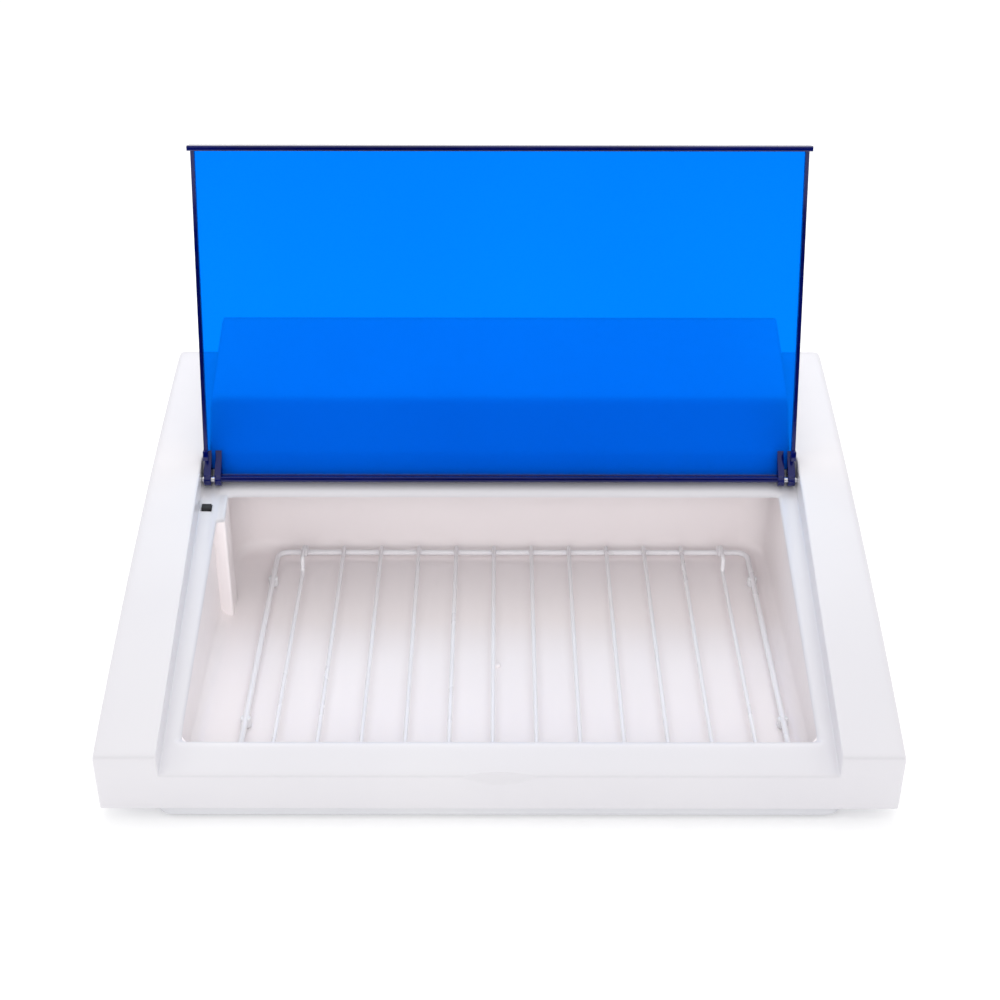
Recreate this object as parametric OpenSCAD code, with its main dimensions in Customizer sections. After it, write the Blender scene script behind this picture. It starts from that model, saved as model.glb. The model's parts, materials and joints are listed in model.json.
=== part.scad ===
// UV steriliser box for salon tools, standing with its lid open.
// Millimetres, +Z up, the open front faces -Y, the table is at Z = 0.

/* [Body] */
// Width over the front of the housing
body_width = 370; // [300:450]
// Width over the rear of the housing
rear_width = 355.6; // [290:450]
// Depth of the housing
body_depth = 260; // [220:320]
// Height of the side rails at the front edge
front_height = 38.5; // [30:60]
// Slope of the side rails, degrees
slope = 16.5; // [5:25]
// Height of the shell's lower rim above the table
rim_height = 7; // [5:12]
// Wall thickness of the shell
wall = 2.5; // [2:0.1:4]

/* [Recess and opening] */
// Half width of the recess that holds the closed lid
recess_half = 155.8; // [120:180]
// Depth of the recess below the rails, measured upright
recess_depth = 11; // [8:16]
// Front edge of the opening, from the front of the box
opening_front = 19.7; // [15:40]
// Rear edge of the opening, from the front of the box
opening_rear = 168; // [140:180]
// Half width of the opening at its front
opening_half = 148.2; // [110:160]
// Half width of the opening at its rear
opening_half_rear = 146; // [110:160]

/* [Console] */
// Half width of the raised rear console
console_half = 152; // [120:156]
// Distance of the console's crease from the front
crease_y = 198; // [190:220]
// Height of the console's crease
crease_z = 117; // [100:130]
// Height of the console at the rear
console_height = 136.6; // [120:150]

/* [Lid] */
// Distance of the hinge axis from the front
hinge_y = 172; // [165:180]
// Depth of the hinge axis below the lid's top face
hinge_drop = 6; // [5:8]
// How far the open lid leans back past upright, degrees
lean = 15.5; // [5:25]
// Length of the lid from the hinge axis
lid_length = 172; // [150:180]
// Half width of the lid over its side flanges
lid_half = 154.2; // [110:155]
// Half width of the lid's front lip
lip_half = 155.3; // [110:156]
// Thickness of the lid panel
lid_thick = 2.2; // [1.5:0.1:4]
// Radius of the hinge pins
pin_radius = 1.5; // [1:0.1:2.5]

/* [Tub] */
// Height of the tub's floor
floor_z = 11; // [9:20]
// Half width of the tub's floor
floor_half = 144.5; // [110:150]
// Inner face of the tub's rear wall, from the front of the box
tub_rear = 218; // [200:230]
// Thickness of the tub's walls
tub_wall = 2; // [1.5:0.1:3]

/* [Rack] */
// Width of the rack over its frame
rack_width = 265; // [200:280]
// Sideways place of the rack's middle
rack_x = 7.3; // [-8:8]
// Front of the rack, from the front of the box
rack_front = 29; // [26:60]
// Rear of the rack, from the front of the box
rack_rear = 208; // [150:210]
// Height of the rack's wires above the table
rack_z = 15.5; // [14:30]
// Radius of the frame wire
frame_wire = 1.5; // [1:0.1:2.5]
// Radius of the thin wires
thin_wire = 1.1; // [0.8:0.1:2]
// Number of thin lengthwise wires
wire_count = 12; // [4:20]
// Spacing of the thin wires
wire_pitch = 20.9; // [10:0.1:40]

/* [Lamp] */
// Distance of the lamp's axis from the front
lamp_y = 195.5; // [185:0.1:200]
// Height of the lamp's axis
lamp_z = 78; // [70:90]
// Radius of the lamp's glass tube
lamp_radius = 7.75; // [6:0.05:10]
// Half length of the lamp over its caps
lamp_half = 144.1; // [100:150]

/* [Hidden] */

tan_s = tan(slope);
cos_s = cos(slope);
gland_reach = 6;
mid_y = (body_depth + gland_reach) / 2;
riser_y = hinge_y + 6;
riser_top = 94;
deck_end = 175;
deck_half = 154;
notch_r = 90;
hinge_z = top_z(hinge_y) - hinge_drop / cos_s;
plate_edge = -142;
plate_front = 151;
button_x = -152;
button_y = 158;
rocker_x = 118;
rocker_z = 52;
gland_x = -118;
gland_z = 34;
holder_in = 144.3;
holder_out = 157;
screw_r = 1.5;

// Height of the rails' top plane at a distance y from the front
function top_z(y) = front_height + y * tan_s;

// Height of the recess floor
function recess_z(y) = top_z(y) - recess_depth;

// One corner of a polygon, rounded with radius r
function corner(a, p, b, r, n = 6) =
    let (
        u = (a - p) / norm(a - p),
        v = (b - p) / norm(b - p),
        half = acos(u * v) / 2,
        c = p + (u + v) / norm(u + v) * r / sin(half),
        s = p + u * r / tan(half) - c,
        e = p + v * r / tan(half) - c,
        from = atan2(s[1], s[0]),
        raw = atan2(e[1], e[0]) - from,
        turn = raw > 180 ? raw - 360 : raw < -180 ? raw + 360 : raw
    )
    [for (i = [0:n]) c + r * [cos(from + turn * i / n), sin(from + turn * i / n)]];

// A polygon whose corners [x, y, radius] are rounded
function rounded(pts) =
    let (k = len(pts))
    [
        for (i = [0:k - 1])
            let (
                p = [pts[i][0], pts[i][1]],
                a = [pts[(i + k - 1) % k][0], pts[(i + k - 1) % k][1]],
                b = [pts[(i + 1) % k][0], pts[(i + 1) % k][1]]
            )
            each (pts[i][2] > 0 ? corner(a, p, b, pts[i][2]) : [p])
    ];

// Everything is drawn with the front of the box at y = 0, then centred
module centred() {
    translate([0, -mid_y, 0]) children();
}

// A side profile [y, z] drawn across the box from x = from to x = to
module across(from, to) {
    translate([from, 0, 0]) rotate([90, 0, 90]) linear_extrude(to - from) children();
}

// A cylinder that lies along X
module rod(from, to, y, z, r) {
    translate([from, y, z]) rotate([0, 90, 0]) cylinder(h = to - from, r = r, $fn = 48);
}

// Both the left and the right copy of a piece
module both_sides() {
    children();
    mirror([1, 0, 0]) children();
}

// Outline of the housing seen from above, set in by g, with gently bowed sides
module outline_prism(g, bottom, top) {
    side = [
        for (i = [0:6])
            let (t = i / 6, w = body_width / 2 - (body_width - rear_width) / 2 * t * t)
            [w - g, g + (body_depth - 2 * g) * t, (i == 0 || i == 6) ? 5 : 0]
    ];
    left = [for (i = [6:-1:0]) [-side[i][0], side[i][1], side[i][2]]];
    translate([0, 0, bottom]) linear_extrude(top - bottom) polygon(rounded(concat(side, left)));
}

// Side profile of the rails, set in by g
module rail_profile(g, bottom) {
    drop = g / cos_s;
    polygon(rounded([
        [1.5 + g, bottom, 0],
        [g, front_height - 8 - drop, 0],
        [g, top_z(g) - drop, max(3 - g, 0.5)],
        [body_depth - g, top_z(body_depth - g) - drop, max(6 - g, 1)],
        [body_depth - g, bottom, 0]
    ]));
}

// Side profile of the raised console, set in by g
module console_profile(g, bottom) {
    polygon(rounded([
        [riser_y + g, bottom, 0],
        [riser_y + g, recess_z(riser_y), 0],
        [riser_y + (riser_top - recess_z(riser_y)) * tan(lean) + g, riser_top, 6],
        [crease_y + 0.6 * g, crease_z - 0.8 * g, 10],
        [body_depth - g, console_height - g, max(5 - g, 1)],
        [body_depth - g, bottom, 0]
    ]));
}

// The space of the recess, widened by g downwards, backwards and sideways
module recess_space(g) {
    back = riser_y + g;
    rise = (riser_top - recess_z(riser_y)) * tan(lean);
    across(-recess_half - g, recess_half + g)
        polygon([
            [-5, recess_z(-5) - g],
            [back, recess_z(back) - g],
            [back + rise, riser_top],
            [crease_y + g, crease_z],
            [crease_y + g, 160],
            [-5, 160]
        ]);
}

// The opening through the recess floor, seen from above
module opening_outline() {
    difference() {
        polygon(rounded([
            [-opening_half, opening_front, 4],
            [opening_half, opening_front, 4],
            [opening_half_rear, opening_rear, 5],
            [-opening_half_rear, opening_rear, 1]
        ]));
        translate([-160, plate_front]) square([160 + plate_edge, 30]);
    }
}

// Places of the screws that join the shell to the base
function shell_screw_places() = [
    for (s = [-1, 1]) each [[s * 169, 16], [s * 169, 132], [s * 165, 246]]
];

// Places of the screws that join the tub to the base
function tub_screw_places() = [
    for (s = [-1, 1]) each [[s * 151, 48], [s * 151, 200]]
];

// Middle of the ball that cuts the finger notch
module at_notch() {
    translate([0, -85, recess_z(0) + 22.5]) children();
}

// The whole moulding of the upper housing, without its inner posts
module shell_moulding() {
    difference() {
        union() {
            intersection() {
                across(-200, 200) rail_profile(0, rim_height);
                outline_prism(0, 0, 200);
            }
            across(-console_half, console_half) console_profile(0, 60);
        }
        difference() {
            union() {
                intersection() {
                    across(-200, 200) rail_profile(wall, 0);
                    outline_prism(wall, -1, 200);
                }
                across(-console_half + wall, console_half - wall)
                    console_profile(wall, 50);
            }
            recess_space(wall);
            at_notch() sphere(r = notch_r + 2.1, $fn = 96);
        }
        recess_space(0);
        translate([0, 0, 20]) linear_extrude(120) opening_outline();
        both_sides() rod(recess_half - 1, recess_half + 5.1, hinge_y, hinge_z, pin_radius);
        // Finger notch at the front of the recess
        at_notch() sphere(r = notch_r, $fn = 96);
        // Hole for the lid switch
        translate([button_x, button_y, recess_z(button_y)]) rotate([slope, 0, 0])
            translate([-2.8, -2.4, -8]) cube([5.6, 4.8, 16]);
        // Slot in the rail beside the lid switch
        translate([-recess_half - 3, button_y - 2, recess_z(button_y) + 2.5])
            cube([4, 4, 1.2]);
        // Rocker cut-out and cord hole in the rear wall
        translate([rocker_x - 9.6, body_depth - 6, rocker_z - 6.4]) cube([19.2, 10, 12.8]);
        translate([gland_x, body_depth - 6, gland_z]) rotate([-90, 0, 0])
            cylinder(h = 10, r = 6, $fn = 48);
    }
}

// Deck of the moulding: the recess floor round the opening, and the front wall
module shell_deck() color([0.94, 0.94, 0.95]) centred() intersection() {
    shell_moulding();
    translate([-deck_half, -5, 0]) cube([2 * deck_half, deck_end + 5, 200]);
}

// Rails of the moulding: both sides, with the walls of the recess
module shell_rails() color([0.94, 0.94, 0.95]) centred() intersection() {
    shell_moulding();
    both_sides() translate([deck_half, -5, 0]) cube([60, body_depth + 10, 200]);
}

// Console of the moulding: the raised rear over the lamp, and the rear wall
module shell_console() color([0.94, 0.94, 0.95]) centred() intersection() {
    shell_moulding();
    translate([-deck_half, deck_end, 0])
        cube([2 * deck_half, body_depth - deck_end + 5, 200]);
}

// Screw posts and hinge pin bosses inside the rails
module shell_posts() color([0.94, 0.94, 0.95]) centred() difference() {
    union() {
        intersection() {
            for (p = shell_screw_places())
                translate([p[0], p[1], 9]) cylinder(h = top_z(p[1]), r = 3.6, $fn = 32);
            across(-200, 200) rail_profile(wall, 0);
        }
        both_sides() rod(recess_half + wall, recess_half + 7, hinge_y, hinge_z, 3.4);
    }
    for (p = shell_screw_places())
        translate([p[0], p[1], 8]) cylinder(h = 14, r = screw_r, $fn = 24);
    both_sides() rod(recess_half - 1, recess_half + 5.1, hinge_y, hinge_z, pin_radius);
}

// The tub's block: the inside for g = 0, the outside for g = tub_wall
module tub_block(g) {
    half = opening_half + 0.2 + g;
    base = floor_z - g;
    intersection() {
        // From the side
        across(-160, 160)
            polygon(rounded([
                [opening_front - 0.2 - g, 120, 0],
                [opening_front - 0.2 - g, base, 6 + g],
                [tub_rear + g - 1, base, 8 + g],
                [tub_rear + g, 120, 0]
            ]));
        // From the front
        translate([0, 250, 0]) rotate([90, 0, 0]) linear_extrude(250)
            polygon(rounded([
                [-half, 120, 0], [-half, base, 6 + g], [half, base, 6 + g], [half, 120, 0]
            ]));
        // From above
        linear_extrude(140)
            polygon(rounded([
                [-half, opening_front - 0.2 - g, 6 + g], [half, opening_front - 0.2 - g, 6 + g],
                [half, tub_rear + g, 14 + g], [-half, tub_rear + g, 14 + g]
            ]));
    }
}

module inner_tub() color([0.93, 0.92, 0.92]) centred() {
    rim = recess_depth + wall + 0.05;
    difference() {
        union() {
            tub_block(tub_wall);
            for (p = tub_screw_places())
                translate([p[0], p[1], floor_z - tub_wall]) {
                    cylinder(h = 14, r = 3.2, $fn = 32);
                    translate([p[0] > 0 ? -6 : 0, -3.2, 0]) cube([6, 6.4, 14]);
                }
            // Pad that the lid switch is screwed to
            at_button() translate([1.2, -9, -16.5]) cube([1.6, 18, 12.6]);
        }
        difference() {
            tub_block(0);
            // Upright cover of the lid switch's wires
            translate([-160, plate_front, 0]) cube([160 + plate_edge, 17, 120]);
            // Moulding pip on the floor
            translate([-1.5, 106.5, 0]) cylinder(h = floor_z + 1.2, r = 2, $fn = 32);
        }
        // Top edge under the recess floor, and a lower edge behind the lamp
        across(-180, 180)
            polygon([[-5, top_z(-5) - rim], [240, top_z(240) - rim], [240, 160], [-5, 160]]);
        translate([-200, 200, lamp_z + 6]) cube([400, 60, 60]);
        // The cover is hollow, and open towards the electrics
        translate([-160, plate_front + 1.6, 20]) cube([160 + plate_edge - 1.6, 13.8, 26]);
        for (p = tub_screw_places())
            translate([p[0], p[1], 8]) cylinder(h = 12, r = screw_r, $fn = 24);
        at_button() for (y = [-6.6, 6.6])
            translate([0, y, -13]) rotate([0, 90, 0]) cylinder(h = 3.4, r = 1.1, $fn = 24);
        // Notches for the lamp holders
        both_sides()
            translate([140, lamp_y - 10.9, lamp_z - 10.8]) cube([20, 21.8, 60]);
    }
}

module base_pan() color([0.9, 0.9, 0.91]) centred() {
    difference() {
        union() {
            intersection() {
                outline_prism(wall + 0.3, rim_height, rim_height + 2);
                translate([-200, 4.3, 0]) cube([400, 300, 20]);
            }
            translate([0, 0, 2]) linear_extrude(5)
                polygon(rounded([
                    [-160, 3, 8], [160, 3, 8], [158, body_depth - 6, 8], [-158, body_depth - 6, 8]
                ]));
        }
        // Hollow under side of the plinth
        translate([0, 0, 1]) linear_extrude(6)
            polygon(rounded([
                [-157.4, 5.6, 6], [157.4, 5.6, 6],
                [155.4, body_depth - 8.6, 6], [-155.4, body_depth - 8.6, 6]
            ]));
        for (p = concat(shell_screw_places(), tub_screw_places()))
            translate([p[0], p[1], 5]) cylinder(h = 6, r = screw_r + 0.2, $fn = 24);
        for (p = ballast_screw_places())
            translate([p[0], p[1], 6]) cylinder(h = 4, r = 1.3, $fn = 24);
        // Cooling slots beside the ballast
        for (i = [0:4])
            translate([98 + i * 10, 226, 5]) cube([4, 18, 6]);
    }
    // Seats of the feet
    for (p = foot_places())
        translate([p[0], p[1], 2]) difference() {
            cylinder(h = 5, r = 9, $fn = 48);
            translate([0, 0, -1]) cylinder(h = 2.2, r = 7, $fn = 48);
        }
    // Ribs across the under side
    for (x = [-90, 0, 90])
        translate([x - 1, 5, 4.5]) cube([2, body_depth - 13, 2.6]);
}

function foot_places() = [for (s = [-1, 1]) each [[s * 140, 22], [s * 138, body_depth - 26]]];

module rubber_feet() color([0.2, 0.2, 0.21]) centred() {
    for (p = foot_places())
        translate([p[0], p[1], 0])
            rotate_extrude($fn = 48)
                polygon([[0, 0], [5.6, 0], [6.4, 0.6], [6.9, 3.2], [0, 3.2]]);
}

// A screw from below: flat round head, shank and cross recess
module screw_up(z, length) {
    translate([0, 0, z]) difference() {
        union() {
            rotate_extrude($fn = 32)
                polygon([[0, -1.6], [1.6, -1.6], [2.4, -1.2], [2.7, -0.6], [2.7, 0], [0, 0]]);
            translate([0, 0, -0.4]) cylinder(h = length, r = screw_r - 0.05, $fn = 32);
        }
        for (a = [0, 90])
            rotate([0, 0, a]) translate([-1.3, -0.3, -2]) cube([2.6, 0.6, 1.2]);
    }
}

module case_screws() color([0.6, 0.6, 0.62]) centred() {
    for (p = concat(shell_screw_places(), tub_screw_places()))
        translate([p[0], p[1], 0]) screw_up(rim_height, 11);
}

module hinge_pins() color([0.75, 0.75, 0.77]) centred() {
    both_sides() rod(146, recess_half + 5, hinge_y, hinge_z, pin_radius - 0.05);
}

// Side profile of the lid, closed and level: the hinge axis at 0, the front at -y
module lid_profile() {
    t = hinge_drop - lid_thick;
    polygon(rounded([
        [1.3, hinge_drop, 1.2],
        [1.3, -0.6, 0.5],
        [-1.3, -0.6, 0.5],
        [-1.3, t, 0.6],
        [-lid_length + 2.6, t, 0.8],
        [-lid_length + 2.6, -3.4, 0.6],
        [-lid_length, -3.4, 0.6],
        [-lid_length, hinge_drop, 1.4]
    ]));
}

// The lid, closed and level
module lid_flat() {
    t = hinge_drop - lid_thick;
    difference() {
        union() {
            across(-145.4, 145.4) lid_profile();
            // The panel and its front lip, out to the flanges
            difference() {
                across(-lip_half, lip_half) lid_profile();
                translate([-200, -0.1, -20]) cube([400, 20, 40]);
                both_sides() {
                    translate([lid_half, -lid_length + 2.6, -20]) cube([20, 400, 40]);
                    translate([145.4, -12, -20]) cube([20, 40, 40]);
                }
            }
            both_sides() {
                // Side flange
                across(lid_half - 1.8, lid_half)
                    polygon([[-12, 0.6], [-12, hinge_drop], [1 - lid_length, hinge_drop],
                        [1 - lid_length, 0.6]]);
                // Outer and inner hinge lugs
                for (x = [[145.4, 148.6], [150.6, lid_half]]) {
                    across(x[0], x[1])
                        polygon([[2.6, -2.1], [-3, -3.1], [-11, t - 1], [-15, t + 0.1],
                            [-15, hinge_drop], [0, hinge_drop], [2.6, 2.2]]);
                    rod(x[0], x[1], 0, 0, 3.4);
                }
                // Tab that meets the lid switch
                across(lid_half - 2.4, lid_half)
                    polygon([[-16, 1], [-15.4, -2.6], [-10.6, -2.6], [-10, 1]]);
                // Panel over the gap between the lugs
                across(145, lid_half) polygon([[-4.6, t], [-4.6, hinge_drop],
                    [-16, hinge_drop], [-16, t]]);
            }
        }
        both_sides() rod(145.8, 160, 0, 0, pin_radius);
    }
}

module lid_panel() color([0.05, 0.35, 0.95]) centred() {
    translate([0, hinge_y, hinge_z]) rotate([-90 - lean, 0, 0]) lid_flat();
}

// Puts a piece on the recess floor at the lid switch, square to the floor
module at_button() {
    translate([button_x, button_y, recess_z(button_y)]) rotate([slope, 0, 0]) children();
}

module switch_plunger() color([0.08, 0.08, 0.09]) centred() at_button() {
    across(-2.4, 2.4)
        polygon([[-2, -0.9], [2, -0.9], [2, 0.9], [1.4, 1.5], [-1.4, 1.5], [-2, 0.9]]);
    translate([-2.3, -1.5, -6.5]) cube([3, 3, 5.8]);
}

module switch_body() color([0.12, 0.12, 0.13]) centred() at_button() {
    difference() {
        translate([-5, -9, -16.5]) cube([6.2, 18, 12.6]);
        translate([-2.6, -1.8, -8.6]) cube([3.6, 3.6, 8]);
        for (y = [-6.6, 6.6])
            translate([-6, y, -13]) rotate([0, 90, 0]) cylinder(h = 8, r = 1.15, $fn = 24);
    }
    // Solder tags
    for (y = [-6, 0, 6])
        translate([-3.4, y - 0.4, -20.4]) cube([2.4, 0.8, 4]);
}

module switch_screws() color([0.65, 0.65, 0.67]) centred() at_button() {
    for (y = [-6.6, 6.6])
        translate([-5, y, -13]) rotate([0, -90, 0]) {
            translate([0, 0, -8]) cylinder(h = 8.2, r = 1.05, $fn = 24);
            rotate_extrude($fn = 24) polygon([[0, 0], [1.9, 0], [1.9, 0.5], [1.2, 1.2], [0, 1.2]]);
        }
}

module rocker_frame() color([0.1, 0.1, 0.11]) centred() {
    translate([rocker_x, body_depth, rocker_z]) difference() {
        union() {
            across(-11, 11) polygon([[0, -7.8], [1.2, -7.8], [2, -7], [2, 7], [1.2, 7.8], [0, 7.8]]);
            translate([-9.4, -14, -6.2]) cube([18.8, 14.1, 12.4]);
        }
        translate([-8, -8, -5]) cube([16, 20, 10]);
        translate([0, -1, -5.9]) cylinder(h = 11.8, r = 1.06, $fn = 24);
    }
    // Tags
    for (x = [-5, 5])
        translate([rocker_x + x - 2.4, body_depth - 20, rocker_z - 0.4]) cube([4.8, 6.1, 0.8]);
}

// The button rocks about an upright axis and rests with its left end pressed in
module rocker_button() color([0.15, 0.15, 0.16]) centred() {
    translate([rocker_x, body_depth - 1, rocker_z]) rotate([0, 0, 8]) {
        translate([0, 0, -4.7]) linear_extrude(9.4)
            polygon(rounded([[-7.2, -1.5, 0.8], [0, -4.4, 2], [7.2, -1.5, 0.8],
                [7.2, 2.6, 0.6], [0, 4, 9], [-7.2, 2.6, 0.6]]));
        translate([0, 0, -5.8]) cylinder(h = 11.6, r = 1, $fn = 24);
    }
}

module cord_gland() color([0.12, 0.12, 0.13]) centred() {
    translate([gland_x, body_depth, gland_z]) rotate([-90, 0, 0]) difference() {
        union() {
            rotate_extrude($fn = 64)
                polygon([[0, 0], [9, 0], [9, 1.6], [7.8, 2.4], [6.4, 5.4], [5.6, 6], [0, 6]]);
            translate([0, 0, -10]) cylinder(h = 10, r = 5.9, $fn = 64);
        }
        translate([0, 0, -12]) cylinder(h = 20, r = 3.3, $fn = 64);
    }
}

module gland_nut() color([0.12, 0.12, 0.13]) centred() {
    translate([gland_x, body_depth - wall, gland_z]) rotate([90, 0, 0]) difference() {
        linear_extrude(4) circle(r = 9, $fn = 6);
        translate([0, 0, -1]) cylinder(h = 6, r = 5.92, $fn = 64);
    }
}

module lamp_glass() color([0.85, 0.9, 0.95]) centred() {
    difference() {
        rod(-lamp_half + 8, lamp_half - 8, lamp_y, lamp_z, lamp_radius);
        rod(-lamp_half + 9, lamp_half - 9, lamp_y, lamp_z, lamp_radius - 0.8);
    }
}

module lamp_caps() color([0.75, 0.75, 0.77]) centred() {
    both_sides() {
        difference() {
            rod(lamp_half - 11, lamp_half, lamp_y, lamp_z, lamp_radius + 0.4);
            rod(lamp_half - 12, lamp_half - 7.95, lamp_y, lamp_z, lamp_radius);
        }
        for (dz = [-2.5, 2.5])
            rod(lamp_half - 0.5, lamp_half + 6.8, lamp_y, lamp_z + dz, 1.15);
    }
}

module lamp_holders() color([0.92, 0.92, 0.9]) centred() {
    both_sides() difference() {
        across(holder_in, holder_out)
            polygon(rounded([
                [lamp_y - 10.8, lamp_z - 7, 3], [lamp_y - 7, lamp_z - 10.8, 3],
                [lamp_y + 7, lamp_z - 10.8, 3], [lamp_y + 10.8, lamp_z - 7, 3],
                [lamp_y + 10.8, lamp_z + 10.8, 1], [lamp_y - 10.8, lamp_z + 10.8, 1]
            ]));
        for (dz = [-2.5, 2.5])
            rod(holder_in - 1, lamp_half + 7.4, lamp_y, lamp_z + dz, 1.2);
    }
}

module lamp_reflector() color([0.82, 0.83, 0.85]) centred() {
    y0 = lamp_y - 10.8;
    y1 = lamp_y + 10.8;
    z0 = lamp_z + 10.8;
    across(-148.5, 148.5)
        polygon([[y0, z0], [y1, z0], [y1, z0 + 1], [y0, z0 + 1]]);
    across(-140, 140)
        polygon([[y1, z0], [y1 + 1, z0], [y1 + 6, z0 - 18], [y1 + 5, z0 - 18],
            [y1, z0 - 0.2]]);
    across(-140, 140)
        polygon([[y1, z0], [y1 + 1.2, z0], [y1 + 1.2, z0 + 1], [y1, z0 + 1]]);
}

function ballast_screw_places() = [[-50, 240], [50, 240]];

module ballast_case() color([0.88, 0.88, 0.86]) centred() {
    difference() {
        union() {
            across(-44, 44)
                polygon(rounded([[227, 9, 0], [253, 9, 0], [253, 31, 2], [227, 31, 2]]));
            translate([-56, 232, 9]) cube([112, 16, 2]);
        }
        for (p = ballast_screw_places())
            translate([p[0], p[1], 5]) cylinder(h = 10, r = 1.5, $fn = 24);
        // Wire exits
        for (s = [-1, 1])
            translate([s * 44 - 3, 236, 21.5]) cube([6, 8, 5.6]);
    }
}

module ballast_screws() color([0.7, 0.7, 0.72]) centred() {
    for (p = ballast_screw_places())
        translate([p[0], p[1], 11]) difference() {
            union() {
                translate([0, 0, -4]) cylinder(h = 4.2, r = 1.25, $fn = 24);
                rotate_extrude($fn = 24)
                    polygon([[0, 0], [2.6, 0], [2.6, 0.6], [1.6, 1.6], [0, 1.6]]);
            }
            translate([-1.6, -0.3, 0.9]) cube([3.2, 0.6, 1]);
        }
}

module terminal_block() color([0.9, 0.9, 0.86]) centred() {
    translate([-92, 232, 9]) difference() {
        union() {
            cube([30, 16, 8]);
            for (i = [0:2]) translate([5 + 10 * i, 8, 7.9]) cylinder(h = 5, r = 3.6, $fn = 32);
        }
        for (i = [0:2]) {
            translate([5 + 10 * i, 8, 9]) cylinder(h = 8, r = 2, $fn = 24);
            translate([5 + 10 * i, -1, 4.5]) rotate([-90, 0, 0]) cylinder(h = 18, r = 1.5, $fn = 24);
        }
    }
}

// A wire whose straight runs lie along the axes, with quarter bends of radius b
module route(pts, b, r) {
    last = len(pts) - 1;
    for (i = [0:last - 1]) {
        u = (pts[i + 1] - pts[i]) / norm(pts[i + 1] - pts[i]);
        from = pts[i] + u * (i > 0 ? b : 0);
        to = pts[i + 1] - u * (i < last - 1 ? b : 0);
        if (norm(to - from) > 0.01)
            translate(from) rotate([0, acos(u[2]), atan2(u[1], u[0])])
                cylinder(h = norm(to - from), r = r, $fn = 24);
    }
    for (i = [1:last - 1]) {
        u = (pts[i] - pts[i - 1]) / norm(pts[i] - pts[i - 1]);
        v = (pts[i + 1] - pts[i]) / norm(pts[i + 1] - pts[i]);
        w = cross(u, v);
        c = pts[i] - b * u + b * v;
        multmatrix([
            [-v[0], u[0], w[0], c[0]],
            [-v[1], u[1], w[1], c[1]],
            [-v[2], u[2], w[2], c[2]]
        ])
            rotate_extrude(angle = 90, $fn = 48) translate([b, 0]) circle(r = r, $fn = 24);
    }
}

module lamp_leads() color([0.93, 0.93, 0.93]) centred() {
    for (s = [-1, 1])
        route([
            [s * 45.5, 240, 24.3], [s * 163, 240, 24.3], [s * 163, 240, lamp_z],
            [s * 163, lamp_y, lamp_z], [s * (holder_out + 0.05), lamp_y, lamp_z]
        ], 4, 1.6);
}

module switch_leads() color([0.75, 0.1, 0.1]) centred() {
    low = [13.5, 20];
    back = [254.5, 251.5];
    for (k = [0, 1])
        route(concat(
            [
                [button_x - 2.2, 158.1 + 5.75 * k, 51.6 + 1.7 * k],
                [button_x - 2.2, 158.1 + 5.75 * k, 44 + 3 * k],
                [button_x - 7.9, 158.1 + 5.75 * k, 44 + 3 * k],
                [button_x - 7.9, 158.1 + 5.75 * k, low[k]],
                [button_x - 7.9, back[k], low[k]],
                [-87 + 10 * k, back[k], low[k]]
            ],
            k == 1 ? [[-77, back[1], 13.5]] : [],
            [[-87 + 10 * k, 247.5, 13.5]]
        ), 2.8, 0.9);
}

module mains_leads() color([0.15, 0.25, 0.6]) centred() {
    run = [225, 229];
    for (k = [0, 1])
        route(concat(
            [[rocker_x - 5 + 10 * k, 238.7, rocker_z], [rocker_x - 5 + 10 * k, run[k], rocker_z]],
            k == 1 ? [[rocker_x + 5, run[1], rocker_z - 6]] : [],
            [
                [-67 - 10 * k, run[k], rocker_z - 6 * k],
                [-67 - 10 * k, run[k], 13.5],
                [-67 - 10 * k, 232.5, 13.5]
            ]
        ), 2.8, 0.9);
}

// A lengthwise wire of the rack
module long_wire(x, from, to, z, r) {
    translate([x, from, z]) rotate([-90, 0, 0]) cylinder(h = to - from, r = r, $fn = 24);
}

// Sideways place of thin wire i
function wire_x(i) = rack_x + (i - (wire_count - 1) / 2) * wire_pitch;

module rack_frame() color([0.93, 0.93, 0.94]) centred() {
    bend = 6;
    half = rack_width / 2 - frame_wire;
    y0 = rack_front + frame_wire;
    y1 = rack_rear - frame_wire;
    translate([rack_x, 0, rack_z]) {
        for (s = [-1, 1]) long_wire(s * half, y0 + bend, y1 - bend, 0, frame_wire);
        for (y = [y0, y1]) rod(bend - half, half - bend, y, 0, frame_wire);
        for (sx = [0, 1], sy = [0, 1])
            translate([sx ? half - bend : bend - half, sy ? y1 - bend : y0 + bend, 0])
                rotate([0, 0, sx ? (sy ? 0 : -90) : (sy ? 90 : 180)])
                    rotate_extrude(angle = 90, $fn = 64)
                        translate([bend, 0]) circle(r = frame_wire, $fn = 24);
    }
}

// Places of the rack's feet
function rack_foot_places() = [
    for (sx = [-1, 1], y = [rack_front + 28, rack_rear - 28])
        [rack_x + sx * (rack_width / 2 - frame_wire), y]
];

// Soft caps that the rack stands on, clipped under the frame
module rack_feet() color([0.9, 0.9, 0.9]) centred() {
    for (p = rack_foot_places())
        translate([p[0], p[1], floor_z]) difference() {
            rotate_extrude($fn = 32)
                polygon([[0, 0], [2, 0], [2.6, 0.6], [2.6, 5], [2.2, 5.6], [0, 5.6]]);
            translate([0, -4, rack_z - floor_z]) rotate([-90, 0, 0])
                cylinder(h = 8, r = frame_wire + 0.02, $fn = 24);
        }
}

module rack_wires() color([0.94, 0.94, 0.95]) centred() {
    over = rack_z + frame_wire + thin_wire - 0.1;
    for (i = [1:wire_count - 2])
        long_wire(wire_x(i), rack_front + 1, rack_rear - 1, over, thin_wire);
}

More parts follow.
